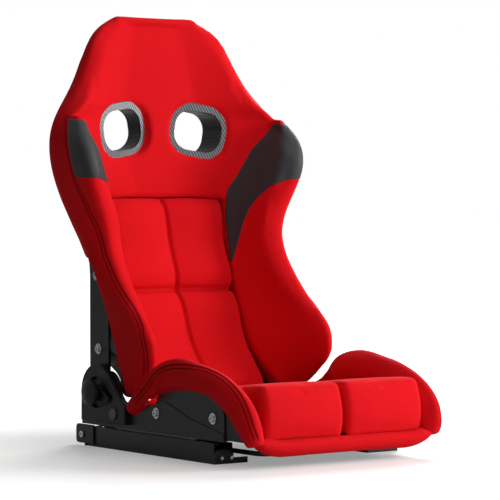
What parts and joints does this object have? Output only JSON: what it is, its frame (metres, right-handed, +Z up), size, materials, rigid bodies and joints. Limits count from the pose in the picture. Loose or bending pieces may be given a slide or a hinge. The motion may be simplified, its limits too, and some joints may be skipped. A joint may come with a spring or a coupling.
{
  "type": "racing seat",
  "caption": "Reclining racing seat with side wings, harness openings, seat bolsters, recliners and slide rails.",
  "frame": {"origin": "centre of the four floor bolt holes, on the plane under the rails", "axes": "+X towards the occupant's left, -Y the way the seat faces, +Z up"},
  "size_m": [0.5906, 0.7551, 0.929],
  "materials": {
    "red_fabric": "stretch knit, satin",
    "red_suede": "short-pile suede cloth",
    "mesh_fabric": "fine mesh",
    "shell_plastic": "satin",
    "bezel_plastic": "woven look",
    "cover_plastic": "fine grain",
    "cap_plastic": "gloss",
    "dial_plastic": "fine grain",
    "nylon": "matte",
    "bracket_steel": "satin",
    "rail_steel": "satin",
    "zinc_steel": "zinc plated",
    "bare_steel": "machined"
  },
  "bodies": {
    "floor_rails": {"lower_rail_left": "rail_steel", "lower_rail_right": "rail_steel", "front_foot_left": "rail_steel", "front_foot_right": "rail_steel", "rear_foot_left": "rail_steel", "rear_foot_right": "rail_steel", "foot_bolts": "zinc_steel"},
    "seat_slide": {"upper_rail_left": "bare_steel", "upper_rail_right": "bare_steel", "rail_glides": "nylon", "rail_guides": "nylon", "rail_bolts": "zinc_steel", "side_bracket_left": "bracket_steel", "side_bracket_right": "bracket_steel", "base_bolts": "zinc_steel", "base_inserts": "bare_steel", "hub_ring_left": "bare_steel", "hub_ring_right": "bare_steel", "return_spring_left": "bare_steel", "return_spring_right": "bare_steel", "recliner_cover_left": "cover_plastic", "recliner_cover_right": "cover_plastic", "cover_caps": "cap_plastic", "handle_pins": "zinc_steel", "base_shell": "shell_plastic", "seat_bolster_left": "red_fabric", "seat_bolster_right": "red_fabric", "thigh_pad_left": "red_suede", "thigh_pad_right": "red_suede", "seat_cushion": "red_fabric", "front_lip": "red_fabric"},
    "backrest": {"hub_gear_left": "bare_steel", "hub_gear_right": "bare_steel", "recliner_arm_left": "bracket_steel", "recliner_arm_right": "bracket_steel", "arm_bolts": "zinc_steel", "arm_inserts": "bare_steel", "back_shell": "shell_plastic", "head_cushion": "red_fabric", "back_wing_left": "red_fabric", "back_wing_right": "red_fabric", "back_pad": "red_fabric", "harness_frame_left": "bezel_plastic", "harness_frame_right": "bezel_plastic", "harness_ring_left": "shell_plastic", "harness_ring_right": "shell_plastic"},
    "dial_spindle": {"recline_dial_left": "dial_plastic", "recline_dial_right": "dial_plastic", "dial_shaft": "bare_steel"},
    "release_levers": {"release_lever_left": "dial_plastic", "release_lever_right": "dial_plastic", "release_tube": "bare_steel"},
    "lift_handle": {"slide_handle": "bracket_steel", "lock_arm_left": "bracket_steel", "lock_arm_right": "bracket_steel"}
  },
  "joints": [
    {"name": "seat_travel", "type": "slide", "parent": "floor_rails", "child": "seat_slide", "axis": [0, 1, 0], "range_m": [-0.08, 0.08]},
    {"name": "recline", "type": "hinge", "parent": "seat_slide", "child": "backrest", "pos_m": [0, 0.185, 0.119], "axis": [-1, 0, 0], "range_deg": [0, 50]},
    {"name": "dial_turn", "type": "hinge", "parent": "seat_slide", "child": "dial_spindle", "pos_m": [0, 0.185, 0.119], "axis": [-1, 0, 0], "range_deg": [-1600, 0]},
    {"name": "lever_lift", "type": "hinge", "parent": "seat_slide", "child": "release_levers", "pos_m": [0, 0.185, 0.119], "axis": [-1, 0, 0], "range_deg": [0, 20], "stiffness_Nm_per_rad": 1, "springref_deg": -11.46},
    {"name": "handle_lift", "type": "hinge", "parent": "seat_slide", "child": "lift_handle", "pos_m": [0, -0.17, 0.024], "axis": [-1, 0, 0], "range_deg": [0, 7], "stiffness_Nm_per_rad": 4, "springref_deg": -6.88}
  ],
  "couplings": [
    {"joint": "dial_turn", "follows": "recline", "ratio": -32}
  ]
}
